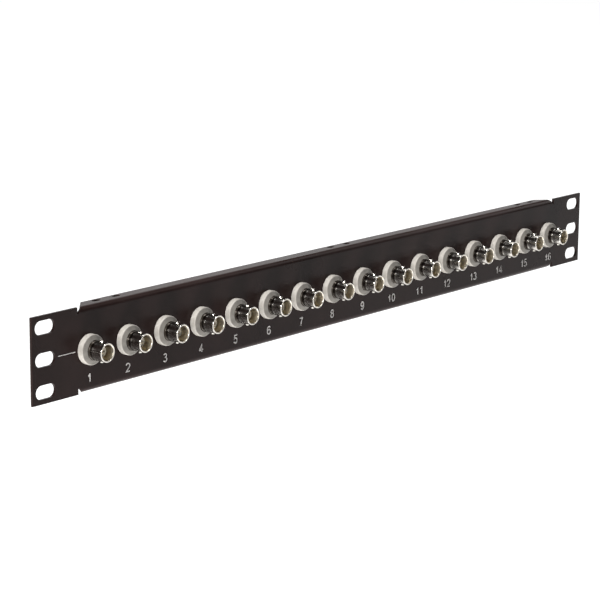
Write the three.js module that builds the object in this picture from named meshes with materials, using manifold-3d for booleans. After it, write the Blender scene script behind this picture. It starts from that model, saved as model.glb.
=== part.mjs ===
// A 1U rack panel carrying sixteen insulated BNC sockets.
//
// Frame: millimetres, X to the right as seen from the front, Y towards the back, Z up.
// The origin is the centre of the panel's rear face, the plane that seats on the rack rails.

import * as THREE from 'three';
import { mergeVertices } from 'three/addons/utils/BufferGeometryUtils.js';
import Module from 'manifold-3d';

// Rack panel: a folded sheet, flat at the ears and flanged between them
const PANEL_LENGTH = 482.6;
const PANEL_HEIGHT = 43.66;
const SHEET = 1.5;
const FOLD_HEIGHT = 43.2;
const FOLD_LENGTH = 420;
const FLANGE_DEPTH = 8.5;
const BEND_RADIUS = 2.8;
const BEND_START = FOLD_HEIGHT / 2 - BEND_RADIUS;
const BEND_STEPS = 3;
const FLANGE_END_SLOPE = 10;
const RELIEF_WIDTH = 0.5;
const RELIEF_DEPTH = 3.4;
const FOLD_ROOT = 6;

// Slots for the rack screws
const SLOT_SPACING_X = 465.1;
const SLOT_ROWS = [-15.875, 0, 15.875];
const SLOT_LENGTH = 13;
const SLOT_HEIGHT = 7;

// Pairs of slots for cable ties along both flanges
const TIE_SPACING = 185;
const TIE_PAIR = 14;
const TIE_LENGTH = 5;
const TIE_WIDTH = 2.5;
const TIE_BACK = 4.2;

// The row of sockets
const SOCKETS = 16;
const PITCH = 406.4 / (SOCKETS - 1);
const PANEL_HOLE_RADIUS = 6.35;

// Gap kept between pieces that touch on the real object
const GAP = 0.3;

// Socket shell, with its insulator and centre contact
const SHELL_FRONT = SHEET + 13;
const SHELL_RADIUS = 4.8;
const COLLAR_RADIUS = 5;
const COLLAR_FRONT = SHEET + 6.9;
const SHELL_BORE = 4.05;
const SHELL_BORE_DEPTH = 8.4;
const SHOULDER_FRONT = SHEET + 3;
const THREAD_RADIUS = 4.25;
const THREAD_BACK = 8.5;
const POST_RADIUS = 2.4;
const POST_RECESS = 3.4;
const REAR_BOSS_RADIUS = 2.2;
const REAR_BOSS_LENGTH = 1;
const CUP_RADIUS = 1;
const CUP_LENGTH = 4;
const LUG_RADIUS = 1;
const LUG_TIP = 5.5;
const LUG_BACK = 4.3;

// Insulating bush that carries the shell through the panel, and slopes up from its rim to the shell
const BUSH_RADIUS = 7.7;
const BUSH_RIM_FRONT = SHEET + 2.7;
const BUSH_FRONT = SHEET + 4.4;

// Nut behind the panel, with room for the washers and the solder tag in front of it
const NUT_ACROSS_FLATS = 13;
const NUT_FRONT = 3.2;
const NUT_THICKNESS = 2.4;

const ROUND_SIDES = 16;
const LUG_SIDES = 6;
const SLOT_END_STEPS = 4;

const wasm = await Module();
wasm.setup();

// The geometry's corners alone, each stored once
function weld(geometry) {
  const bare = geometry.clone();
  bare.deleteAttribute('normal');
  bare.deleteAttribute('uv');
  return mergeVertices(bare, 1e-4);
}

// A closed geometry as a solid that can be cut and joined
function solidOf(geometry) {
  const welded = weld(geometry);
  const index = welded.index.array;
  const triangles = [];
  for (let i = 0; i < index.length; i += 3) {
    const corners = [index[i], index[i + 1], index[i + 2]];
    if (new Set(corners).size === 3) triangles.push(...corners);
  }
  return new wasm.Manifold(new wasm.Mesh({
    numProp: 3,
    vertProperties: new Float32Array(welded.attributes.position.array),
    triVerts: new Uint32Array(triangles),
  }));
}

// A solid back as a geometry
function geometryOf(solid) {
  const mesh = solid.getMesh();
  const geometry = new THREE.BufferGeometry();
  geometry.setAttribute('position', new THREE.BufferAttribute(mesh.vertProperties, 3));
  geometry.setIndex(new THREE.BufferAttribute(mesh.triVerts, 1));
  const flat = geometry.toNonIndexed();
  flat.computeVertexNormals();
  return flat;
}

// A plate: an outline in X and Z, with its front face at -front and its rear face at -back
function plate(shape, front, back) {
  const geometry = new THREE.ExtrudeGeometry(shape, {
    depth: front - back,
    bevelEnabled: false,
    curveSegments: SLOT_END_STEPS,
  });
  return geometry.rotateX(Math.PI / 2).translate(0, -back, 0);
}

// A bar along X: an outline in Y and Z
function bar(shape, length) {
  const geometry = new THREE.ExtrudeGeometry(shape, { depth: length, bevelEnabled: false });
  const alongX = new THREE.Matrix4().makeBasis(
    new THREE.Vector3(0, 1, 0),
    new THREE.Vector3(0, 0, 1),
    new THREE.Vector3(1, 0, 0),
  );
  return geometry.translate(0, 0, -length / 2).applyMatrix4(alongX);
}

// A piece turned about the Y axis, from [radius, y] points
function turned(points) {
  return new THREE.LatheGeometry(points.map(([r, y]) => new THREE.Vector2(r, y)), ROUND_SIDES);
}

// A slot outline with round ends, drawn on a shape or a path
function slotOutline(path, x, z, length, height) {
  const r = height / 2;
  const straight = length / 2 - r;
  path.moveTo(x - straight, z - r);
  path.lineTo(x + straight, z - r);
  path.absarc(x + straight, z, r, -Math.PI / 2, Math.PI / 2, false);
  path.lineTo(x - straight, z + r);
  path.absarc(x - straight, z, r, Math.PI / 2, 1.5 * Math.PI, false);
  return path;
}

// The flat sheet: full height at the ears, then a narrow relief slit at each end of the folds,
// and between the slits only the web up to where the bends begin
function faceOutline() {
  const endX = PANEL_LENGTH / 2;
  const topZ = PANEL_HEIGHT / 2;
  const foldX = FOLD_LENGTH / 2;
  const reliefX = foldX + RELIEF_WIDTH;
  const slitZ = topZ - RELIEF_DEPTH;
  const upperRight = [
    [endX, topZ],
    [reliefX, topZ],
    [reliefX, slitZ],
    [foldX, slitZ],
    [foldX, BEND_START],
  ];
  const upper = [...upperRight, ...upperRight.map(([x, z]) => [-x, z]).reverse()];
  const outline = [...upper, ...upper.map(([x, z]) => [x, -z]).reverse()];
  const shape = new THREE.Shape(outline.map(([x, z]) => new THREE.Vector2(x, z)));
  for (const side of [-1, 1]) {
    for (const z of SLOT_ROWS) {
      const x = side * SLOT_SPACING_X / 2;
      shape.holes.push(slotOutline(new THREE.Path(), x, z, SLOT_LENGTH, SLOT_HEIGHT));
    }
  }
  return shape;
}

// One fold in section: the root in the web, the bend, and the flange, for the top edge
function foldOutline() {
  const top = FOLD_HEIGHT / 2;
  const bendY = -SHEET + BEND_RADIUS;
  const backY = -SHEET + FLANGE_DEPTH;
  const inner = BEND_RADIUS - SHEET;
  const arc = (radius, step) => {
    const angle = (step / BEND_STEPS) * (Math.PI / 2);
    return [bendY - radius * Math.cos(angle), BEND_START + radius * Math.sin(angle)];
  };
  const steps = [...Array(BEND_STEPS + 1).keys()];
  const points = [
    [0, BEND_START - FOLD_ROOT],
    [-SHEET, BEND_START - FOLD_ROOT],
    ...steps.map((step) => arc(BEND_RADIUS, step)),
    [backY, top],
    [backY, top - SHEET],
    ...steps.reverse().map((step) => arc(inner, step)),
  ];
  return new THREE.Shape(points.map(([y, z]) => new THREE.Vector2(y, z)));
}

// The wedge that slopes one end of the top fold, from the front face to the flange's back edge
function foldEndCutter(side) {
  const endX = FOLD_LENGTH / 2;
  const past = 2;
  const pastX = past * FLANGE_END_SLOPE / FLANGE_DEPTH;
  const frontY = -SHEET - past;
  const backY = -SHEET + FLANGE_DEPTH + past;
  const corners = [
    [endX + pastX, frontY],
    [endX + pastX, backY],
    [endX - FLANGE_END_SLOPE - pastX, backY],
  ];
  const shape = new THREE.Shape(corners.map(([x, y]) => new THREE.Vector2(side * x, y)));
  const geometry = new THREE.ExtrudeGeometry(shape, {
    depth: BEND_RADIUS + past,
    bevelEnabled: false,
  });
  return geometry.translate(0, 0, BEND_START);
}

// The cable-tie slots, cut down through both flanges at once
function tieSlotCutters() {
  const cutters = [];
  for (const group of [-1, 0, 1]) {
    for (const side of [-1, 1]) {
      const x = group * TIE_SPACING + side * TIE_PAIR / 2;
      const shape = slotOutline(new THREE.Shape(), x, TIE_BACK, TIE_LENGTH, TIE_WIDTH);
      const geometry = new THREE.ExtrudeGeometry(shape, {
        depth: 2 * PANEL_HEIGHT,
        bevelEnabled: false,
        curveSegments: SLOT_END_STEPS / 2,
      });
      cutters.push(geometry.translate(0, 0, -PANEL_HEIGHT));
    }
  }
  return cutters;
}

// X of socket number i, counted from the left
function socketX(i) {
  return (i - (SOCKETS - 1) / 2) * PITCH;
}

// The same piece turned half a turn about Y: the bottom from the top
function halfTurned(geometry) {
  return geometry.clone().rotateY(Math.PI);
}

// The fold along the top edge, with both of its ends sloped
function topFold() {
  let fold = solidOf(bar(foldOutline(), FOLD_LENGTH));
  for (const side of [-1, 1]) {
    fold = fold.subtract(solidOf(foldEndCutter(side)));
  }
  return geometryOf(fold);
}

function rackPanel() {
  const fold = topFold();
  const cutters = tieSlotCutters();
  for (let i = 0; i < SOCKETS; i += 1) {
    const hole = new THREE.CylinderGeometry(
      PANEL_HOLE_RADIUS,
      PANEL_HOLE_RADIUS,
      4 * SHEET,
      ROUND_SIDES,
    );
    cutters.push(hole.translate(socketX(i), 0, 0));
  }
  let panel = solidOf(plate(faceOutline(), SHEET, 0));
  panel = panel.add(solidOf(fold)).add(solidOf(halfTurned(fold)));
  for (const cutter of cutters) {
    panel = panel.subtract(solidOf(cutter));
  }
  return geometryOf(panel);
}

// The metal shell with its two bayonet lugs, and the insulator and contact held inside it
function socketBody() {
  const postFront = -SHELL_FRONT + POST_RECESS;
  const boreEnd = -SHELL_FRONT + SHELL_BORE_DEPTH;
  const bossBack = THREAD_BACK + REAR_BOSS_LENGTH;
  const shoulder = -SHOULDER_FRONT - GAP;
  const collarStep = COLLAR_RADIUS - SHELL_RADIUS;
  let body = solidOf(turned([
    [0, postFront],
    [POST_RADIUS, postFront],
    [POST_RADIUS, boreEnd],
    [SHELL_BORE, boreEnd],
    [SHELL_BORE, -SHELL_FRONT],
    [SHELL_RADIUS, -SHELL_FRONT],
    [SHELL_RADIUS, -COLLAR_FRONT - collarStep],
    [COLLAR_RADIUS, -COLLAR_FRONT],
    [COLLAR_RADIUS, shoulder],
    [THREAD_RADIUS, shoulder],
    [THREAD_RADIUS, THREAD_BACK],
    [REAR_BOSS_RADIUS, THREAD_BACK],
    [REAR_BOSS_RADIUS, bossBack],
    [CUP_RADIUS, bossBack],
    [CUP_RADIUS, bossBack + CUP_LENGTH],
    [0, bossBack + CUP_LENGTH],
  ]));
  const lugRoot = (SHELL_BORE + SHELL_RADIUS) / 2;
  const lugLength = LUG_TIP - lugRoot;
  for (const side of [-1, 1]) {
    const lug = new THREE.CylinderGeometry(LUG_RADIUS, LUG_RADIUS, lugLength, LUG_SIDES);
    lug.rotateX(Math.PI / 2);
    lug.translate(0, -SHELL_FRONT + LUG_BACK, side * (lugRoot + lugLength / 2));
    body = body.add(solidOf(lug));
  }
  return geometryOf(body);
}

// The bush: a flange on the panel's face with a sloping front, and a spigot in the panel's hole
function frontBush() {
  const mouth = COLLAR_RADIUS + GAP;
  const bore = THREAD_RADIUS + GAP;
  const spigot = PANEL_HOLE_RADIUS - GAP;
  const seat = -SHEET - GAP;
  return turned([
    [bore, 0],
    [bore, -SHOULDER_FRONT],
    [mouth, -SHOULDER_FRONT],
    [mouth, -BUSH_FRONT],
    [BUSH_RADIUS, -BUSH_RIM_FRONT],
    [BUSH_RADIUS, seat],
    [spigot, seat],
    [spigot, 0],
    [bore, 0],
  ]);
}

// The hexagon nut on the shell's thread, with two of its flats level
function rearNut() {
  const corner = NUT_ACROSS_FLATS / Math.sqrt(3);
  const shape = new THREE.Shape();
  for (let i = 0; i < 6; i += 1) {
    const angle = i * Math.PI / 3;
    const method = i === 0 ? 'moveTo' : 'lineTo';
    shape[method](corner * Math.cos(angle), corner * Math.sin(angle));
  }
  const bore = new THREE.Path();
  bore.absarc(0, 0, THREAD_RADIUS + GAP, 0, 2 * Math.PI, true);
  shape.holes.push(bore);
  const geometry = new THREE.ExtrudeGeometry(shape, {
    depth: NUT_THICKNESS,
    bevelEnabled: false,
    curveSegments: ROUND_SIDES / 2,
  });
  return geometry.rotateX(Math.PI / 2).translate(0, NUT_FRONT + NUT_THICKNESS, 0);
}

const panelPaint = new THREE.MeshStandardMaterial({ color: 0x2b2524, roughness: 0.55, metalness: 0 });
const nickel = new THREE.MeshStandardMaterial({ color: 0xb8b2a6, roughness: 0.25, metalness: 1 });
const ivoryNylon = new THREE.MeshStandardMaterial({ color: 0xb2aca5, roughness: 0.5, metalness: 0 });

const patchBay = new THREE.Group();

function place(name, geometry, material, x) {
  const mesh = new THREE.Mesh(geometry, material);
  mesh.name = name;
  mesh.position.x = x;
  patchBay.add(mesh);
}

place('rack_panel', rackPanel(), panelPaint, 0);

const bodyGeometry = socketBody();
const bushGeometry = frontBush();
const nutGeometry = rearNut();
for (let i = 0; i < SOCKETS; i += 1) {
  const number = String(i + 1).padStart(2, '0');
  place(`socket_body_${number}`, bodyGeometry, nickel, socketX(i));
  place(`front_bush_${number}`, bushGeometry, ivoryNylon, socketX(i));
  place(`rear_nut_${number}`, nutGeometry, nickel, socketX(i));
}

export default patchBay;
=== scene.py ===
"""A 1U rack panel with sixteen insulated BNC sockets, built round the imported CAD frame.

Shapes are drawn in millimetres in the row frame and stored in metres. X is right, Y is back and Z is up,
and the origin is the centre of the panel's rear face.
"""

import math

import bmesh
import bpy
from mathutils import Matrix, Vector


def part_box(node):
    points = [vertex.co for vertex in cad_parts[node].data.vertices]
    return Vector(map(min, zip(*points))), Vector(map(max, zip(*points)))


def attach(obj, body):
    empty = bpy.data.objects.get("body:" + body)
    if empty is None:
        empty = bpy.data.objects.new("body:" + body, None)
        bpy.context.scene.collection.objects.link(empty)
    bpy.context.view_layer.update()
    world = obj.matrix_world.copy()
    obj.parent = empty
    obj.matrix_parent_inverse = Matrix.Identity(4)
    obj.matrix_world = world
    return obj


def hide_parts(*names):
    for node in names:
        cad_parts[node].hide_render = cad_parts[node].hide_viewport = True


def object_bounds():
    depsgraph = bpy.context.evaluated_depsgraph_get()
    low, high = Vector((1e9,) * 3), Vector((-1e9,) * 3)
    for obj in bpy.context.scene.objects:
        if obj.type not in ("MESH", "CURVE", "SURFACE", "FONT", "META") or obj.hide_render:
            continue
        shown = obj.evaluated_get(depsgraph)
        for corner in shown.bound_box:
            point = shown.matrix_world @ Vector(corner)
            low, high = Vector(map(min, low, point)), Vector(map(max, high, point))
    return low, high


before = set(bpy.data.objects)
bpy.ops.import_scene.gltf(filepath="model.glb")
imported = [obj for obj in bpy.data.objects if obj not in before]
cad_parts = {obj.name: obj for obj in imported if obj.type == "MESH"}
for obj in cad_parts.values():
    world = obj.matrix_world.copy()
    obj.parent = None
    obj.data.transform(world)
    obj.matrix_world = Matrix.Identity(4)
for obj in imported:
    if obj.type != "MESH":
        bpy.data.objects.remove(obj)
cad_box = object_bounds()

MM = 0.001


def box_mm(node):
    """A CAD node's lowest and highest corners, in millimetres."""
    low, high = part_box(node)
    return low / MM, high / MM


# The panel, from its CAD node
PANEL_LOW, PANEL_HIGH = box_mm("rack_panel")
PANEL_END = PANEL_HIGH.x
PANEL_TOP = PANEL_HIGH.z
PANEL_FRONT = PANEL_LOW.y
FLANGE_BACK = PANEL_HIGH.y
SHEET = -PANEL_FRONT
EDGE_ROUND = 0.18

# The folds along its top and bottom edges
FOLD_TOP = 21.6
FOLD_END = 210.0
BEND_RADIUS = 2.8
BEND_CUTS = 12
BEND_NEUTRAL = BEND_RADIUS - SHEET / 2
FOLD_MITRE = 10.0
RELIEF_WIDTH = 0.5
RELIEF_DEPTH = 3.4

# Its holes
RACK_SLOT_X = 465.1 / 2
RACK_SLOT_ROWS = (-15.875, 0.0, 15.875)
RACK_SLOT = (13.0, 7.0)
TIE_GROUPS = (-185.0, 0.0, 185.0)
TIE_PAIR = 14.0
TIE_SLOT = (5.0, 2.5)
TIE_BACK = 4.2
SOCKET_HOLE_RADIUS = 6.35

# The sockets, from their CAD nodes
SOCKETS = 16
SHELL_LOW, SHELL_HIGH = box_mm("socket_body_01")
SHELL_FRONT = SHELL_LOW.y
CUP_BACK = SHELL_HIGH.y
LUG_TIP = SHELL_HIGH.z
COLLAR_RADIUS = (SHELL_HIGH.x - SHELL_LOW.x) / 2
COLLAR_FRONT = PANEL_FRONT - 7.0
COLLAR_TAPER = 1.2
# How far the collar's painted shade fades in, either side of the collar's front
COLLAR_SHADE_FADE = 0.3
SHELL_RADIUS = 4.8
SHELL_BORE = 4.05
BORE_END = SHELL_FRONT + 8.4
SHOULDER = PANEL_FRONT - 3.0
THREAD_RADIUS = 4.25
THREAD_BACK = 8.5
THREAD_START = 0.05
THREAD_END = THREAD_BACK - 0.35
THREAD_PITCH = 0.79
THREAD_DEPTH = 0.42
LUG_RADIUS = 1.0
LUG_Y = SHELL_FRONT + 4.3

POST_FRONT = SHELL_FRONT + 3.4
POST_RADIUS = 2.4
INSULATOR_BORE = 0.98
BOSS_RADIUS = 2.2
BOSS_BACK = THREAD_BACK + 1.0
CONTACT_RECESS = 1.3
CONTACT_RADIUS = 0.93
CONTACT_BORE = 0.66
CONTACT_DEPTH = 5.0
CUP_RADIUS = 1.0
CUP_BORE = 0.68
CUP_DEPTH = 3.2

BUSH_LOW, BUSH_HIGH = box_mm("front_bush_01")
BUSH_RADIUS = (BUSH_HIGH.x - BUSH_LOW.x) / 2
BUSH_FRONT = BUSH_LOW.y
RIM_FRONT = PANEL_FRONT - 3.1
BUSH_CLEARANCE = 0.12
WASHER_CLEARANCE = 0.05

# Where the nylon turns from its face, painted darker as shade, to its rim, in metres from its axis
NYLON_EDGE = ((BUSH_RADIUS - 0.55) * MM, (BUSH_RADIUS - 0.25) * MM)

NUT_LOW, NUT_HIGH = box_mm("rear_nut_01")
NUT_FLATS = NUT_HIGH.z - NUT_LOW.z
NUT_CORNERS = NUT_HIGH.x - NUT_LOW.x

# What lies between the panel and the nut, each from its front face to its rear face
REAR_WASHER = (0.0, 1.6)
SOLDER_TAG = (1.6, 2.1)
LOCK_WASHER = (2.1, NUT_LOW.y)

# How finely shapes are divided, and the smallest gap between pieces
ROUND_SIDES = 64
CORNER_STEPS = 3
ARC_STEPS = 20
SMOOTH_BELOW = math.radians(40)
FINE = 0.02

# Printing
NUMBER_Z = -14.5
NUMBER_HEIGHT = 4.8
NUMBER_PITCH = 27.24
NUMBER_SHIFT = 1.3
DIGIT_WIDTH = 3.1
DIGIT_ADVANCE = 3.8
STROKE = 0.66
INK = 0.04
RULE_ENDS = (-224.0, -212.5)
RULE_HEIGHT = 0.35


# ---------------------------------------------------------------- materials

# The stretch of a noise value over which a ramp runs
RAMP_START = 0.35
RAMP_END = 0.65


def new_material(name, color, roughness, metallic=0.0, specular=0.5):
    """A Principled material with the numbers that are the same all over it. Returns it with its nodes."""
    material = bpy.data.materials.new(name)
    material.use_nodes = True
    nodes, links = material.node_tree.nodes, material.node_tree.links
    shader = nodes["Principled BSDF"]
    shader.inputs["Base Color"].default_value = (*color, 1)
    shader.inputs["Roughness"].default_value = roughness
    shader.inputs["Metallic"].default_value = metallic
    shader.inputs["Specular IOR Level"].default_value = specular
    place = nodes.new("ShaderNodeTexCoord")
    return material, nodes, links, shader, place.outputs["Object"]


def noise(nodes, links, where, scale, detail=2.0, stretch=None):
    """Noise over the surface. Scale is in cells per metre, and stretch scales each axis before it."""
    if stretch:
        mapping = nodes.new("ShaderNodeMapping")
        mapping.inputs["Scale"].default_value = stretch
        links.new(where, mapping.inputs["Vector"])
        where = mapping.outputs["Vector"]
    texture = nodes.new("ShaderNodeTexNoise")
    texture.inputs["Scale"].default_value = scale
    texture.inputs["Detail"].default_value = detail
    links.new(where, texture.inputs["Vector"])
    return texture.outputs["Fac"]


def ramp(nodes, links, value, low, high):
    """Maps a value to colours or grey levels from low to high."""
    steps = nodes.new("ShaderNodeValToRGB")
    steps.color_ramp.elements[0].position = RAMP_START
    steps.color_ramp.elements[1].position = RAMP_END
    for element, level in zip(steps.color_ramp.elements, (low, high)):
        element.color = (*level, 1) if isinstance(level, tuple) else (level, level, level, 1)
    links.new(value, steps.inputs["Fac"])
    return steps.outputs["Color"]


def mapped(nodes, links, value, ends, levels=(0, 1)):
    """A value stretched from one range to another and held at both ends."""
    node = nodes.new("ShaderNodeMapRange")
    links.new(value, node.inputs["Value"])
    for name, number in zip(("From Min", "From Max", "To Min", "To Max"), (*ends, *levels)):
        node.inputs[name].default_value = number
    return node.outputs["Result"]


def product(nodes, links, first, second):
    """One value times another."""
    node = nodes.new("ShaderNodeMath")
    node.operation = "MULTIPLY"
    links.new(first, node.inputs[0])
    links.new(second, node.inputs[1])
    return node.outputs["Value"]


def bump(nodes, links, shader, heights):
    """Bumps from (value, depth in metres) pairs, one on top of another."""
    last = None
    for value, depth in heights:
        node = nodes.new("ShaderNodeBump")
        node.inputs["Strength"].default_value = 1.0
        node.inputs["Distance"].default_value = depth
        links.new(value, node.inputs["Height"])
        if last:
            links.new(last.outputs["Normal"], node.inputs["Normal"])
        last = node
    links.new(last.outputs["Normal"], shader.inputs["Normal"])


def powder_coat():
    """Black powder coat: near black, a little warm, with a fine pebbled skin and slow changes of sheen."""
    made = new_material("panel_paint", (0.02, 0.012, 0.011), 0.3, specular=0.11)
    material, nodes, links, shader, where = made
    broad = noise(nodes, links, where, 22, detail=4)
    pebbles = noise(nodes, links, where, 2600, detail=1)
    peel = noise(nodes, links, where, 700, detail=2)
    color = ramp(nodes, links, broad, (0.016, 0.0085, 0.0075), (0.025, 0.014, 0.013))
    links.new(color, shader.inputs["Base Color"])
    links.new(ramp(nodes, links, broad, 0.26, 0.34), shader.inputs["Roughness"])
    bump(nodes, links, shader, [(peel, 0.000015), (pebbles, 0.00001)])
    return material


def axis_distance(nodes, links, where):
    """How far a point lies from the piece's Y axis, in metres."""
    flat = nodes.new("ShaderNodeVectorMath")
    flat.operation = "MULTIPLY"
    flat.inputs[1].default_value = (1, 0, 1)
    links.new(where, flat.inputs[0])
    length = nodes.new("ShaderNodeVectorMath")
    length.operation = "LENGTH"
    links.new(flat.outputs["Vector"], length.inputs[0])
    return length.outputs["Value"]


def blended(nodes, links, share, low, high):
    """A colour socket between two others."""
    mix = nodes.new("ShaderNodeMix")
    mix.data_type = "RGBA"
    links.new(share, mix.inputs["Factor"])
    for name, value in (("A", low), ("B", high)):
        socket = next(i for i in mix.inputs if i.name == name and i.type == "RGBA")
        if isinstance(value, tuple):
            socket.default_value = (*value, 1)
        else:
            links.new(value, socket)
    return next(o for o in mix.outputs if o.type == "RGBA")


def nickel_plate():
    """Nickel over turned brass: faint rings round the Y axis, painted shade on the collar and satin in the
    bore.
    """
    made = new_material("nickel", (0.66, 0.61, 0.54), 0.26, metallic=1.0)
    material, nodes, links, shader, where = made
    rings = noise(nodes, links, where, 1.0, detail=3, stretch=(40, 7000, 40))
    cloud = noise(nodes, links, where, 420, detail=3)
    bore_skin = ((SHELL_BORE + 0.12) * MM, (SHELL_BORE + 0.22) * MM)
    outside = mapped(nodes, links, axis_distance(nodes, links, where), bore_skin)
    # The collar, from its front back to the panel, gets painted shade: a near-black colour standing for
    # the shade at the barrel's foot.
    split = nodes.new("ShaderNodeSeparateXYZ")
    links.new(where, split.inputs["Vector"])
    fade = ((COLLAR_FRONT - COLLAR_SHADE_FADE) * MM, (COLLAR_FRONT + COLLAR_SHADE_FADE) * MM)
    past_front = mapped(nodes, links, split.outputs["Y"], fade)
    before_panel = mapped(nodes, links, split.outputs["Y"], (PANEL_FRONT * MM, 0), (1, 0))
    collar = product(nodes, links, past_front, before_panel)
    bright = ramp(nodes, links, cloud, (0.60, 0.57, 0.52), (0.74, 0.71, 0.66))
    shaded_plate = blended(nodes, links, collar, bright, (0.16, 0.14, 0.12))
    links.new(blended(nodes, links, outside, (0.74, 0.68, 0.57), shaded_plate), shader.inputs["Base Color"])
    polish = ramp(nodes, links, cloud, 0.13, 0.18)
    links.new(blended(nodes, links, outside, (0.34, 0.34, 0.34), polish), shader.inputs["Roughness"])
    shader.inputs["Anisotropic"].default_value = 0.4
    shader.inputs["Anisotropic Rotation"].default_value = 0.25
    round_axis = nodes.new("ShaderNodeTangent")
    round_axis.direction_type = "RADIAL"
    round_axis.axis = "Y"
    links.new(round_axis.outputs["Tangent"], shader.inputs["Tangent"])
    bump(nodes, links, shader, [(rings, 0.0000015)])
    return material


def moulded_nylon():
    """Greyed ivory nylon: a satin moulded skin, slightly clouded, with painted shade darkening its faces
    inside the rim.
    """
    made = new_material("nylon", (0.37, 0.35, 0.32), 0.4, specular=0.3)
    material, nodes, links, shader, where = made
    cloud = noise(nodes, links, where, 320, detail=3)
    skin = noise(nodes, links, where, 3200, detail=2)
    edge = mapped(nodes, links, axis_distance(nodes, links, where), NYLON_EDGE)
    # Inside NYLON_EDGE the face colour is painted shade, darker than the rim's own tone, standing for the
    # dim light on the front faces.
    shaded_face = ramp(nodes, links, cloud, (0.15, 0.14, 0.125), (0.21, 0.195, 0.175))
    rim_tone = ramp(nodes, links, cloud, (0.31, 0.29, 0.26), (0.43, 0.405, 0.37))
    links.new(blended(nodes, links, edge, shaded_face, rim_tone), shader.inputs["Base Color"])
    links.new(ramp(nodes, links, skin, 0.34, 0.46), shader.inputs["Roughness"])
    bump(nodes, links, shader, [(skin, 0.000012)])
    return material


def turned_ptfe():
    """White PTFE with faint tool rings."""
    made = new_material("insulator", (0.86, 0.82, 0.76), 0.38, specular=0.4)
    material, nodes, links, shader, where = made
    rings = noise(nodes, links, where, 1.0, detail=2, stretch=(900, 6000, 900))
    cloud = noise(nodes, links, where, 600, detail=2)
    color = ramp(nodes, links, cloud, (0.90, 0.87, 0.82), (0.95, 0.93, 0.89))
    links.new(color, shader.inputs["Base Color"])
    bump(nodes, links, shader, [(rings, 0.000008)])
    return material


def gold_plate():
    """Thin gold over the turned contact."""
    made = new_material("contact", (0.80, 0.58, 0.25), 0.25, metallic=1.0)
    material, nodes, links, shader, where = made
    cloud = noise(nodes, links, where, 900, detail=3)
    rings = noise(nodes, links, where, 1.0, detail=2, stretch=(60, 9000, 60))
    color = ramp(nodes, links, cloud, (0.74, 0.52, 0.21), (0.86, 0.65, 0.31))
    links.new(color, shader.inputs["Base Color"])
    links.new(ramp(nodes, links, cloud, 0.2, 0.34), shader.inputs["Roughness"])
    bump(nodes, links, shader, [(rings, 0.000005)])
    return material


def tin_plate():
    """Tin over stamped sheet: matt, mottled and lightly scratched."""
    made = new_material("tinned", (0.62, 0.61, 0.58), 0.34, metallic=1.0)
    material, nodes, links, shader, where = made
    cloud = noise(nodes, links, where, 700, detail=4)
    scratches = noise(nodes, links, where, 1.0, detail=2, stretch=(300, 300, 5200))
    color = ramp(nodes, links, cloud, (0.54, 0.53, 0.50), (0.70, 0.69, 0.66))
    links.new(color, shader.inputs["Base Color"])
    links.new(ramp(nodes, links, cloud, 0.28, 0.46), shader.inputs["Roughness"])
    bump(nodes, links, shader, [(scratches, 0.00001)])
    return material


def screen_ink():
    """White screen print, a little thin in places over the pebbled paint."""
    made = new_material("print", (0.84, 0.81, 0.79), 0.5, specular=0.35)
    material, nodes, links, shader, where = made
    thin = noise(nodes, links, where, 1500, detail=3)
    pebbles = noise(nodes, links, where, 2600, detail=1)
    color = ramp(nodes, links, thin, (0.70, 0.67, 0.65), (0.90, 0.88, 0.86))
    links.new(color, shader.inputs["Base Color"])
    bump(nodes, links, shader, [(pebbles, 0.000015)])
    return material


MATERIALS = {
    "panel_paint": powder_coat(),
    "nickel": nickel_plate(),
    "nylon": moulded_nylon(),
    "insulator": turned_ptfe(),
    "contact": gold_plate(),
    "tinned": tin_plate(),
    "print": screen_ink(),
}


# ---------------------------------------------------------------- shapes


def mesh_from(bm, name):
    """The bmesh as a mesh in metres, smooth except across sharp edges."""
    bmesh.ops.remove_doubles(bm, verts=bm.verts, dist=1e-5)
    bmesh.ops.recalc_face_normals(bm, faces=bm.faces)
    for face in bm.faces:
        face.smooth = True
    for edge in bm.edges:
        edge.smooth = edge.is_manifold and edge.calc_face_angle(0) < SMOOTH_BELOW
    bmesh.ops.scale(bm, vec=(MM, MM, MM), verts=bm.verts)
    mesh = bpy.data.meshes.new(name)
    bm.to_mesh(mesh)
    bm.free()
    return mesh


def finished(mesh, name, slot, steps=()):
    """The mesh with modifiers applied, its shading weighted to its flats, and its material."""
    maker = bpy.data.objects.new(name, mesh)
    bpy.context.scene.collection.objects.link(maker)
    for kind, settings in (*steps, ("WEIGHTED_NORMAL", {"keep_sharp": True, "weight": 80})):
        modifier = maker.modifiers.new(kind.lower(), kind)
        for key, value in settings.items():
            setattr(modifier, key, value)
    bpy.context.view_layer.update()
    seen = maker.evaluated_get(bpy.context.evaluated_depsgraph_get())
    result = bpy.data.meshes.new_from_object(seen)
    result.name = name
    result.materials.clear()
    result.materials.append(MATERIALS[slot])
    bpy.data.objects.remove(maker)
    return result


def helper(mesh, name):
    """An object that only cuts or joins another, left out of the render."""
    obj = bpy.data.objects.new(name, mesh)
    bpy.context.scene.collection.objects.link(obj)
    obj.hide_render = True
    return obj


def combined(mesh, name, slot, others):
    """The mesh cut by or joined to others, given as (operation, mesh) pairs."""
    tools = [(how, helper(other, f"{name}_tool")) for how, other in others]
    steps = [("BOOLEAN", {"operation": how, "object": tool, "solver": "EXACT"}) for how, tool in tools]
    result = finished(mesh, name, slot, steps)
    for _, tool in tools:
        bpy.data.objects.remove(tool)
    return result


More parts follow.
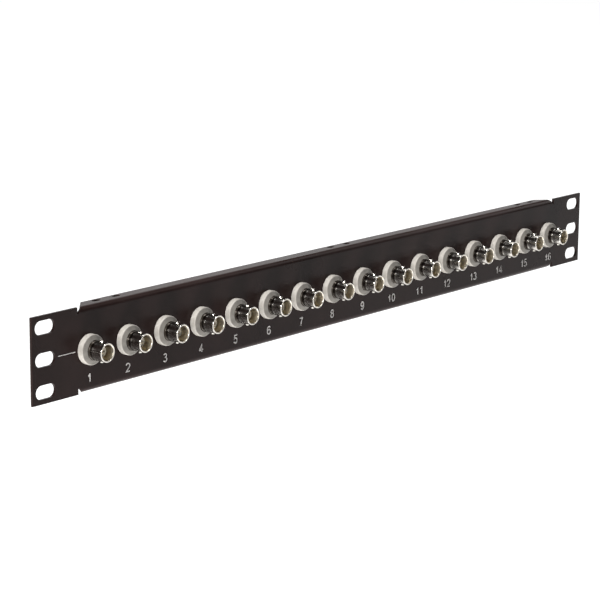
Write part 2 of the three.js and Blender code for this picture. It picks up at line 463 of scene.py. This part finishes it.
def rounded(corners, closed=True):
    """An outline with its corners eased. Each corner is (radius, y, size of the rounding)."""
    points = []
    count = len(corners)
    for i, (r, y, size) in enumerate(corners):
        here = Vector((r, y))
        at_end = not closed and i in (0, count - 1)
        if at_end or size <= 0:
            points.append(here)
            continue
        before = Vector(corners[i - 1][:2]) - here
        after = Vector(corners[(i + 1) % count][:2]) - here
        cut = min(size, 0.45 * before.length, 0.45 * after.length)
        start = here + before.normalized() * cut
        end = here + after.normalized() * cut
        for k in range(CORNER_STEPS + 1):
            t = k / CORNER_STEPS
            points.append(start.lerp(here, t).lerp(here.lerp(end, t), t))
    return points


def turned(outline, closed=True, sides=ROUND_SIDES, wave=None):
    """A bmesh turned about the Y axis from (radius, y) points.

    wave(angle, r, y) may change a point's radius.
    """
    bm = bmesh.new()
    rings = []
    for point in outline:
        r, y = point
        if r < 1e-6:
            rings.append([bm.verts.new((0, y, 0))])
            continue
        ring = []
        for k in range(sides):
            angle = 2 * math.pi * k / sides
            radius = wave(angle, r, y) if wave else r
            ring.append(bm.verts.new((radius * math.sin(angle), y, radius * math.cos(angle))))
        rings.append(ring)
    pairs = list(zip(rings, rings[1:]))
    if closed:
        pairs.append((rings[-1], rings[0]))
    for first, second in pairs:
        for k in range(sides):
            corners = []
            for vert in (
                first[k % len(first)],
                first[(k + 1) % len(first)],
                second[(k + 1) % len(second)],
                second[k % len(second)],
            ):
                if vert not in corners:
                    corners.append(vert)
            if len(corners) > 2:
                bm.faces.new(corners)
    return bm


def stadium(x, z, size, steps=12):
    """The outline of a slot with round ends."""
    radius = size[1] / 2
    straight = size[0] / 2 - radius
    points = []
    for side, start in ((1, -math.pi / 2), (-1, math.pi / 2)):
        for k in range(steps + 1):
            angle = start + math.pi * k / steps
            points.append((x + side * straight + radius * math.cos(angle), z + radius * math.sin(angle)))
    return points


def circle(x, z, radius):
    """The outline of a round hole."""
    angles = [2 * math.pi * k / ROUND_SIDES for k in range(ROUND_SIDES)]
    return [(x + radius * math.cos(angle), z + radius * math.sin(angle)) for angle in angles]


def plate(outlines, thickness, edge, edge_steps=2):
    """A flat plate as a bmesh, in X and Z with its front face at y = 0, from an outline and its holes.

    Its edges are rounded by edge.
    """
    curve = bpy.data.curves.new("plate_outline", "CURVE")
    curve.dimensions = "2D"
    curve.fill_mode = "BOTH"
    curve.bevel_depth = edge
    curve.bevel_resolution = edge_steps
    curve.extrude = thickness / 2 - edge
    curve.offset = -edge
    for outline in outlines:
        spline = curve.splines.new("POLY")
        spline.points.add(len(outline) - 1)
        for point, (x, z) in zip(spline.points, outline):
            point.co = (x, z, 0, 1)
        spline.use_cyclic_u = True
    maker = bpy.data.objects.new("plate_outline", curve)
    bpy.context.scene.collection.objects.link(maker)
    bpy.context.view_layer.update()
    mesh = bpy.data.meshes.new_from_object(maker.evaluated_get(bpy.context.evaluated_depsgraph_get()))
    bpy.data.objects.remove(maker)
    bm = bmesh.new()
    bm.from_mesh(mesh)
    upright = Matrix.Rotation(math.pi / 2, 4, "X")
    bmesh.ops.transform(bm, matrix=Matrix.Translation((0, thickness / 2, 0)) @ upright, verts=bm.verts)
    bmesh.ops.remove_doubles(bm, verts=bm.verts, dist=1e-4)
    return bm


# ---------------------------------------------------------------- the panel

BEND_START = FOLD_TOP - BEND_RADIUS
BEND_LENGTH = BEND_NEUTRAL * math.pi / 2
BEND_Y = PANEL_FRONT + BEND_RADIUS
FLAT_TOP = BEND_START + BEND_LENGTH + FLANGE_BACK - BEND_Y


def unfolded(y):
    """Where a point of the top flange, y behind the panel's rear face, lies in the flat pattern."""
    return BEND_START + BEND_LENGTH + y - BEND_Y


def panel_outline():
    """The flat pattern's outer edge: full-height ears, relief slits, and folds with sloping ends."""
    relief = FOLD_END + RELIEF_WIDTH
    slit = PANEL_TOP - RELIEF_DEPTH
    quarter = [
        (PANEL_END, PANEL_TOP),
        (relief, PANEL_TOP),
        (relief, slit),
        (FOLD_END, slit),
        (FOLD_END, BEND_START),
        (FOLD_END - FOLD_MITRE, FLAT_TOP),
    ]
    back = [(-x, z) for x, z in reversed(quarter)]
    upper = quarter + back
    return upper + [(x, -z) for x, z in reversed(upper)]


def fold(bm):
    """Bends both flanges of the flat pattern back round their bend lines."""
    for vert in bm.verts:
        x, y, z = vert.co
        past = abs(z) - BEND_START
        if past <= 0 or abs(x) > FOLD_END - EDGE_ROUND / 2:
            continue
        angle = min(past, BEND_LENGTH) / BEND_NEUTRAL
        radius = BEND_RADIUS - (y - PANEL_FRONT)
        folded_y = BEND_Y - radius * math.cos(angle) + max(0, past - BEND_LENGTH)
        folded_z = BEND_START + radius * math.sin(angle)
        vert.co = (x, folded_y, math.copysign(folded_z, z))


def panel_mesh():
    """The sheet cut flat with all its holes, then folded."""
    outlines = [panel_outline()]
    for side in (-1, 1):
        outlines += [stadium(side * RACK_SLOT_X, z, RACK_SLOT) for z in RACK_SLOT_ROWS]
        for group in TIE_GROUPS:
            for step in (-1, 1):
                x = group + step * TIE_PAIR / 2
                outlines.append(stadium(x, side * unfolded(TIE_BACK), TIE_SLOT, steps=6))
    outlines += [circle(x, 0, SOCKET_HOLE_RADIUS) for x in SOCKET_X]
    bm = plate(outlines, SHEET, EDGE_ROUND)
    bmesh.ops.translate(bm, vec=(0, PANEL_FRONT, 0), verts=bm.verts)
    for side in (-1, 1):
        for k in range(BEND_CUTS + 1):
            cut = side * (BEND_START + BEND_LENGTH * k / BEND_CUTS)
            everything = bm.verts[:] + bm.edges[:] + bm.faces[:]
            bmesh.ops.bisect_plane(bm, geom=everything, plane_co=(0, 0, cut), plane_no=(0, 0, 1))
    fold(bm)
    return finished(mesh_from(bm, "panel"), "panel", "panel_paint")


# ---------------------------------------------------------------- a socket's pieces


def thread_wave(angle, r, y):
    """The radius of the thread on the shank: a helix of V grooves that fades in from each end."""
    if abs(r - THREAD_RADIUS) > 1e-4 or not THREAD_START < y < THREAD_END:
        return r
    phase = (y / THREAD_PITCH + angle / (2 * math.pi)) % 1
    fade = min(1, (THREAD_END - y) / THREAD_PITCH, (y - THREAD_START) / THREAD_PITCH)
    return r - THREAD_DEPTH * fade * abs(2 * phase - 1)


def lug_mesh(side):
    """One bayonet lug: a short stud standing out of the barrel."""
    root = (SHELL_BORE + SHELL_RADIUS) / 2
    outline = rounded(
        [(0, root, 0), (LUG_RADIUS, root, 0), (LUG_RADIUS, LUG_TIP, 0.2), (0, LUG_TIP, 0)],
        closed=False,
    )
    bm = turned(outline, closed=False, sides=24)
    turn = Matrix.Rotation(side * math.pi / 2, 4, "X")
    bmesh.ops.transform(bm, matrix=Matrix.Translation((0, LUG_Y, 0)) @ turn, verts=bm.verts)
    return mesh_from(bm, "lug")


def shell_mesh():
    """The nickel shell: the open barrel in front, the threaded shank behind."""
    bore = POST_RADIUS + FINE
    thread_steps = int(THREAD_BACK / THREAD_PITCH * 8)
    shank = [(THREAD_RADIUS, THREAD_BACK * k / thread_steps, 0) for k in range(thread_steps)]
    outline = rounded([
        (SHELL_BORE, SHELL_FRONT, 0.3),
        (SHELL_BORE, BORE_END, 0.15),
        (bore, BORE_END, 0.1),
        (bore, THREAD_BACK, 0.15),
        (THREAD_RADIUS - 0.3, THREAD_BACK, 0.05),
        *reversed(shank),
        (THREAD_RADIUS, SHOULDER, 0.1),
        (COLLAR_RADIUS, SHOULDER, 0.1),
        (COLLAR_RADIUS, COLLAR_FRONT + COLLAR_TAPER / 2, 0.6),
        (SHELL_RADIUS, COLLAR_FRONT - COLLAR_TAPER / 2, 0.6),
        (SHELL_RADIUS, SHELL_FRONT, 0.25),
    ])
    bm = turned(outline, wave=thread_wave)
    others = [("UNION", lug_mesh(side)) for side in (-1, 1)]
    return combined(mesh_from(bm, "shell"), "shell", "nickel", others)


def insulator_mesh():
    """The PTFE insulator: the post in the barrel's mouth, the length in the shell, and the boss behind."""
    outline = rounded([
        (INSULATOR_BORE, POST_FRONT, 0.2),
        (POST_RADIUS, POST_FRONT, 0.15),
        (POST_RADIUS, THREAD_BACK, 0.02),
        (BOSS_RADIUS, THREAD_BACK, 0.02),
        (BOSS_RADIUS, BOSS_BACK, 0.15),
        (INSULATOR_BORE, BOSS_BACK, 0.1),
    ])
    return finished(mesh_from(turned(outline), "insulator"), "insulator", "insulator")


def contact_mesh():
    """The centre contact: a bored socket at the front and a cut-away solder cup behind."""
    front = POST_FRONT + CONTACT_RECESS
    floor = CUP_BACK - CUP_DEPTH
    outline = rounded([
        (0, front + CONTACT_DEPTH, 0),
        (CONTACT_BORE, front + CONTACT_DEPTH, 0),
        (CONTACT_BORE, front, 0.12),
        (CONTACT_RADIUS, front, 0.1),
        (CONTACT_RADIUS, BOSS_BACK, 0),
        (CUP_RADIUS, BOSS_BACK, 0.05),
        (CUP_RADIUS, CUP_BACK, 0.08),
        (CUP_BORE, CUP_BACK, 0.08),
        (CUP_BORE, floor, 0.1),
        (0, floor, 0),
    ], closed=False)
    bm = turned(outline, closed=False, sides=40)
    scoop = bmesh.new()
    bmesh.ops.create_cube(scoop, size=1)
    length = 2.6
    centre = (0, CUP_BACK - length / 2 + 1, CUP_RADIUS * 0.85)
    bmesh.ops.transform(
        scoop,
        matrix=Matrix.Translation(centre) @ Matrix.Diagonal((4, length + 2, CUP_RADIUS * 1.3, 1)),
        verts=scoop.verts,
    )
    bmesh.ops.bevel(scoop, geom=scoop.edges[:], offset=0.3, segments=3, affect="EDGES")
    cut = [("DIFFERENCE", mesh_from(scoop, "scoop"))]
    return combined(mesh_from(bm, "contact"), "contact", "contact", cut)


def bush_mesh():
    """The bush: a flange with an eased rim, a front that slopes up to the shell, and the spigot."""
    mouth = COLLAR_RADIUS + BUSH_CLEARANCE
    bore = THREAD_RADIUS + FINE
    outline = rounded([
        (bore, 0, 0.1),
        (bore, SHOULDER + FINE, 0.1),
        (mouth, SHOULDER + FINE, 0.1),
        (mouth, BUSH_FRONT, 0.12),
        (BUSH_RADIUS, RIM_FRONT, 0.4),
        (BUSH_RADIUS, PANEL_FRONT, 0.25),
        (SOCKET_HOLE_RADIUS - FINE, PANEL_FRONT, 0.1),
        (SOCKET_HOLE_RADIUS - FINE, 0, 0.1),
    ])
    return finished(mesh_from(turned(outline), "bush"), "bush", "nylon")


def rear_washer_mesh():
    """The insulating washer behind the panel."""
    front, back = REAR_WASHER
    outline = rounded([
        (THREAD_RADIUS + WASHER_CLEARANCE, front, 0.1),
        (THREAD_RADIUS + WASHER_CLEARANCE, back, 0.2),
        (BUSH_RADIUS, back, 0.45),
        (BUSH_RADIUS, front, 0.1),
    ])
    return finished(mesh_from(turned(outline), "rear_washer"), "rear_washer", "nylon")


def tag_mesh():
    """The solder tag: a ring with a tail, bent back, and an eye for the wire."""
    front, back = SOLDER_TAG
    ring_radius = 6.9
    tail_half = 1.7
    tail_end = 15.0
    bend_at = 8.6
    bend_radius = 1.4
    lean = math.radians(62)
    join = math.asin(tail_half / ring_radius)
    outline = []
    for k in range(49):
        angle = join + (2 * math.pi - 2 * join) * k / 48
        outline.append((ring_radius * math.sin(angle), ring_radius * math.cos(angle)))
    for k in range(13):
        angle = math.pi - math.pi * k / 12
        outline.append((tail_half * math.cos(angle), tail_end - tail_half + tail_half * math.sin(angle)))
    eye = [(x, z) for z, x in stadium(tail_end - 2.4, 0, (2.6, 1.5), steps=8)]
    hole = circle(0, 0, THREAD_RADIUS + WASHER_CLEARANCE)
    bm = plate([outline, hole, eye], back - front, 0.06, edge_steps=1)
    for k in range(9):
        cut = bend_at + bend_radius * lean * k / 8
        everything = bm.verts[:] + bm.edges[:] + bm.faces[:]
        bmesh.ops.bisect_plane(bm, geom=everything, plane_co=(0, 0, cut), plane_no=(0, 0, 1))
    for vert in bm.verts:
        x, y, z = vert.co
        past = z - bend_at
        if past <= 0:
            continue
        angle = min(past / bend_radius, lean)
        radius = bend_radius - y
        straight = max(0, past - bend_radius * lean)
        new_y = bend_radius - radius * math.cos(angle) + straight * math.sin(angle)
        new_z = bend_at + radius * math.sin(angle) + straight * math.cos(angle)
        vert.co = (x, new_y, new_z)
    bmesh.ops.translate(bm, vec=(0, front, 0), verts=bm.verts)
    return finished(mesh_from(bm, "solder_tag"), "solder_tag", "tinned")


def lock_washer_mesh():
    """The lock washer: a ring with twisted teeth round its outside."""
    front, back = LOCK_WASHER
    thick = 0.45
    middle = (front + back) / 2
    teeth = 12
    ring_radius, tip_radius = 6.3, 7.4
    root_radius = ring_radius - 0.1
    gap_end, tip_start, tip_end = 0.3, 0.36, 0.94
    tooth_shape = (
        (0.0, ring_radius),
        (gap_end, ring_radius),
        (tip_start, tip_radius),
        (tip_end, tip_radius),
    )
    outline = []
    for tooth in range(teeth):
        for share, radius in tooth_shape:
            angle = 2 * math.pi * (tooth + share) / teeth
            outline.append((radius * math.cos(angle), radius * math.sin(angle)))
    bm = plate([outline, circle(0, 0, THREAD_RADIUS + WASHER_CLEARANCE)], thick, 0.05, edge_steps=1)
    rise = (back - front - thick) / 2
    for vert in bm.verts:
        x, y, z = vert.co
        out = max(0, math.hypot(x, z) - root_radius) / (tip_radius - root_radius)
        share = (math.atan2(z, x) / (2 * math.pi) * teeth) % 1
        twist = (2 * min(max(share, tip_start), tip_end) - tip_start - tip_end) / (tip_end - tip_start)
        vert.co.y = y - thick / 2 + middle + out * twist * rise
    return finished(mesh_from(bm, "lock_washer"), "lock_washer", "tinned")


def nut_mesh():
    """The hexagon nut, its corners chamfered on both faces."""
    front, back = NUT_LOW.y, NUT_HIGH.y
    corner = NUT_CORNERS / 2
    flat = NUT_FLATS / 2
    hexagon = [(corner * math.cos(k * math.pi / 3), corner * math.sin(k * math.pi / 3)) for k in range(6)]
    bm = plate([hexagon, circle(0, 0, THREAD_RADIUS - 0.1)], back - front, 0.05, edge_steps=1)
    bmesh.ops.translate(bm, vec=(0, front, 0), verts=bm.verts)
    drop = 0.5
    ease = 0.1
    cone = turned([
        Vector(point) for point in (
            (0, front),
            (flat - ease, front),
            (corner + ease, front + drop),
            (corner + ease, back - drop),
            (flat - ease, back),
            (0, back),
        )
    ], closed=False, sides=96)
    return combined(mesh_from(bm, "nut"), "nut", "nickel", [("INTERSECT", mesh_from(cone, "nut_cone"))])


# ---------------------------------------------------------------- placing the pieces


def add_piece(name, mesh, x=0.0, stands_for=()):
    """Puts a piece in the scene at x millimetres, riding on the panel."""
    obj = bpy.data.objects.new(name, mesh)
    bpy.context.scene.collection.objects.link(obj)
    obj.location.x = x * MM
    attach(obj, "root")
    if stands_for:
        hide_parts(*stands_for)
    return obj


def socket_node(kind, number):
    """The name of one socket's CAD node."""
    return f"{kind}_{number:02d}"


def socket_x(number):
    """X of a socket, in millimetres, from its CAD node."""
    low, high = box_mm(socket_node("socket_body", number))
    return (low.x + high.x) / 2


NUMBERS = range(1, SOCKETS + 1)
SOCKET_X = [socket_x(number) for number in NUMBERS]

add_piece("panel", panel_mesh(), stands_for=["rack_panel"])

# piece: (mesh, material slot, the CAD node's kind)
SOCKET_PIECES = {
    "shell": (shell_mesh(), "nickel", "socket_body"),
    "insulator": (insulator_mesh(), "insulator", "socket_body"),
    "contact": (contact_mesh(), "contact", "socket_body"),
    "bush": (bush_mesh(), "nylon", "front_bush"),
    "rear_washer": (rear_washer_mesh(), "nylon", None),
    "solder_tag": (tag_mesh(), "tinned", None),
    "lock_washer": (lock_washer_mesh(), "tinned", None),
    "nut": (nut_mesh(), "nickel", "rear_nut"),
}

for number, x in zip(NUMBERS, SOCKET_X):
    for piece, (mesh, slot, kind) in SOCKET_PIECES.items():
        nodes = [socket_node(kind, number)] if kind else []
        add_piece(f"{piece}_{number:02d}", mesh, x, nodes)


# ---------------------------------------------------------------- printing


def bow(x, z, across, up, start, end):
    """Points along an elliptical arc, its angles in degrees."""
    points = []
    for k in range(ARC_STEPS + 1):
        angle = math.radians(start + (end - start) * k / ARC_STEPS)
        points.append((x + across * math.cos(angle), z + up * math.sin(angle)))
    return points


# Each digit's strokes: centre lines in a box that runs from 0 to 1 both ways
HOOK = [*bow(0.5, 0.6, 0.5, 0.4, 35, 180), (0.0, 0.3)]
DIGITS = {
    "0": [bow(0.5, 0.5, 0.5, 0.5, 0, 360)],
    "1": [[(0.66, 0.0), (0.66, 1.0)], [(0.66, 0.97), (0.48, 0.78), (0.18, 0.7)]],
    "2": [[*bow(0.5, 0.71, 0.5, 0.29, 165, -25), (0.0, 0.0), (1.0, 0.0)]],
    "3": [bow(0.46, 0.76, 0.44, 0.24, 155, -90), bow(0.48, 0.27, 0.52, 0.27, 90, -160)],
    "4": [[(0.74, 0.0), (0.74, 0.96), (0.0, 0.27), (1.1, 0.27)]],
    "5": [[(0.95, 1.0), (0.2, 1.0), (0.08, 0.5), *bow(0.44, 0.32, 0.56, 0.32, 120, -150)]],
    "6": [bow(0.5, 0.3, 0.5, 0.3, 0, 360), HOOK],
    "7": [[(0.0, 1.0), (1.0, 1.0), (0.55, 0.5), (0.38, 0.0)]],
    "8": [bow(0.5, 0.77, 0.42, 0.23, 0, 360), bow(0.5, 0.27, 0.5, 0.27, 0, 360)],
    "9": [bow(0.5, 0.7, 0.5, 0.3, 0, 360), [(1 - x, 1 - z) for x, z in HOOK]],
}


def stroke_mesh(points):
    """One printed stroke: a flat ribbon of even width along its centre line."""
    path = [Vector(point) for point in points]
    closed = (path[0] - path[-1]).length < 1e-6
    if closed:
        path.pop()
    bm = bmesh.new()
    sides = []
    for i, here in enumerate(path):
        before = path[i - 1] if closed or i else here
        after = path[(i + 1) % len(path)] if closed or i < len(path) - 1 else here
        ways = [way.normalized() for way in (here - before, after - here) if way.length > 1e-6]
        along = sum(ways, Vector((0, 0))).normalized()
        reach = STROKE / 2 / max(0.5, along.dot(ways[0]))
        aside = Vector((-along.y, along.x)) * reach
        edges = (here - aside, here + aside)
        sides.append([bm.verts.new((point.x, y, point.y)) for y in (-INK, 0) for point in edges])
    pairs = list(zip(sides, sides[1:] + sides[:1]))
    if not closed:
        pairs.pop()
        bm.faces.new([sides[0][k] for k in (0, 1, 3, 2)])
        bm.faces.new([sides[-1][k] for k in (0, 1, 3, 2)])
    for first, second in pairs:
        for k, m in ((0, 1), (1, 3), (3, 2), (2, 0)):
            bm.faces.new((first[k], first[m], second[m], second[k]))
    return mesh_from(bm, "stroke")


def printed_number(text, name):
    """A number as a thin layer of ink, centred on x = 0."""
    inner = Vector((DIGIT_WIDTH - STROKE, NUMBER_HEIGHT - STROKE))
    strokes = []
    for place, digit in enumerate(text):
        start = (place - len(text) / 2) * DIGIT_ADVANCE + (DIGIT_ADVANCE - inner.x) / 2
        for line in DIGITS[digit]:
            strokes.append(stroke_mesh([(start + x * inner.x, (z - 0.5) * inner.y) for x, z in line]))
    mesh = combined(strokes[0], name, "print", [("UNION", other) for other in strokes[1:]])
    onto_panel = Matrix.Translation(Vector((0, PANEL_FRONT, NUMBER_Z)) * MM)
    mesh.transform(onto_panel)
    return mesh


for number in NUMBERS:
    name = f"number_{number:02d}"
    x = NUMBER_SHIFT + (number - (SOCKETS + 1) / 2) * NUMBER_PITCH
    add_piece(name, printed_number(str(number), name), x)

left, right = RULE_ENDS
rule_outline = stadium((left + right) / 2, 0, (right - left, RULE_HEIGHT), steps=6)
rule = plate([rule_outline], INK, INK / 4, edge_steps=1)
bmesh.ops.translate(rule, vec=(0, PANEL_FRONT - INK, 0), verts=rule.verts)
add_piece("printed_rule", finished(mesh_from(rule, "printed_rule"), "printed_rule", "print"))


# ---------------------------------------------------------------- floor, light and camera

FLOOR_DROP = 60.0
FLOOR_REACH = 9.0
FLOOR_GREY = 0.3
FLOOR_GLOW = 0.82
CAMERA_TARGET = Vector((-38.8, 0.0, -2.7)) * MM
CAMERA_DISTANCE = 1.1992
CAMERA_HEADING = math.radians(50.765)
CAMERA_DIP = math.radians(12.273)
CAMERA_ROLL = math.radians(0.463)
CAMERA_LENS = 132.05

# How the studio changes from front to back and from below to overhead: (between where, from what to what)
STUDIO_DEPTH = ((-0.4, 0.4), (0.08, 1.0))
STUDIO_HEIGHT = ((-0.6, 0.5), (3.2, 0.3))

# softbox: (place in metres, size in metres, power in watts)
SOFTBOXES = {
    "left": ((-2.3, -0.2, 0.9), 0.6, 82),
    "top": ((0.0, -0.1, 2.4), 0.8, 56),
    "below": ((-0.6, -0.3, -1.6), 0.8, 60),
    "front_top": ((-0.1, -1.7, 2.0), 0.8, 3),
    "right": ((2.1, -0.6, 1.1), 1.2, 8),
    "low_back": ((1.9, 1.5, 0.55), 1.0, 2),
    "high_back": ((2.0, 2.4, 2.6), 3.0, 50),
}


def add_floor():
    """A plain pale floor that glows. Softboxes and the studio light the object through it from below."""
    bm = bmesh.new()
    bmesh.ops.create_grid(bm, x_segments=2, y_segments=2, size=FLOOR_REACH)
    mesh = bpy.data.meshes.new("floor")
    bm.to_mesh(mesh)
    bm.free()
    floor = bpy.data.objects.new("floor", mesh)
    floor.location.z = cad_box[0].z - FLOOR_DROP * MM
    material = bpy.data.materials.new("floor")
    material.use_nodes = True
    shader = material.node_tree.nodes["Principled BSDF"]
    shader.inputs["Base Color"].default_value = (FLOOR_GREY, FLOOR_GREY, FLOOR_GREY, 1)
    shader.inputs["Roughness"].default_value = 0.9
    shader.inputs["Specular IOR Level"].default_value = 0.0
    shader.inputs["Emission Color"].default_value = (1, 1, 1, 1)
    shader.inputs["Emission Strength"].default_value = FLOOR_GLOW
    mesh.materials.append(material)
    floor.visible_diffuse = False
    floor.visible_shadow = False
    bpy.context.scene.collection.objects.link(floor)


def add_world():
    """A studio that is bright behind and below the object, and dim in front of it and overhead."""
    world = bpy.data.worlds.new("studio")
    world.use_nodes = True
    nodes, links = world.node_tree.nodes, world.node_tree.links
    where = nodes.new("ShaderNodeTexCoord")
    split = nodes.new("ShaderNodeSeparateXYZ")
    links.new(where.outputs["Generated"], split.inputs["Vector"])
    behind = mapped(nodes, links, split.outputs["Y"], *STUDIO_DEPTH)
    low = mapped(nodes, links, split.outputs["Z"], *STUDIO_HEIGHT)
    links.new(product(nodes, links, behind, low), nodes["Background"].inputs["Strength"])
    bpy.context.scene.world = world


def add_softbox(name, place, size, power):
    """A square soft light aimed at the object."""
    light = bpy.data.lights.new(name, "AREA")
    light.shape = "SQUARE"
    light.size = size
    light.energy = power
    obj = bpy.data.objects.new(name, light)
    obj.location = place
    obj.rotation_mode = "QUATERNION"
    obj.rotation_quaternion = Vector(place).to_track_quat("Z", "Y")
    bpy.context.scene.collection.objects.link(obj)


def add_camera():
    """The camera in front of the panel's left end, a little above it."""
    camera = bpy.data.cameras.new("camera")
    camera.lens = CAMERA_LENS
    camera.sensor_width = 36
    camera.clip_start = 0.01
    camera.clip_end = 100
    obj = bpy.data.objects.new("camera", camera)
    ahead = Vector((
        math.sin(CAMERA_HEADING) * math.cos(CAMERA_DIP),
        math.cos(CAMERA_HEADING) * math.cos(CAMERA_DIP),
        -math.sin(CAMERA_DIP),
    ))
    obj.rotation_mode = "QUATERNION"
    obj.location = CAMERA_TARGET - ahead * CAMERA_DISTANCE
    roll = Matrix.Rotation(CAMERA_ROLL, 4, "Z").to_quaternion()
    obj.rotation_quaternion = ahead.to_track_quat("-Z", "Y") @ roll
    bpy.context.scene.collection.objects.link(obj)
    bpy.context.scene.camera = obj


add_floor()
add_world()
for name, (place, size, power) in SOFTBOXES.items():
    add_softbox(name, place, size, power)
add_camera()
bpy.context.scene.view_settings.view_transform = "Standard"
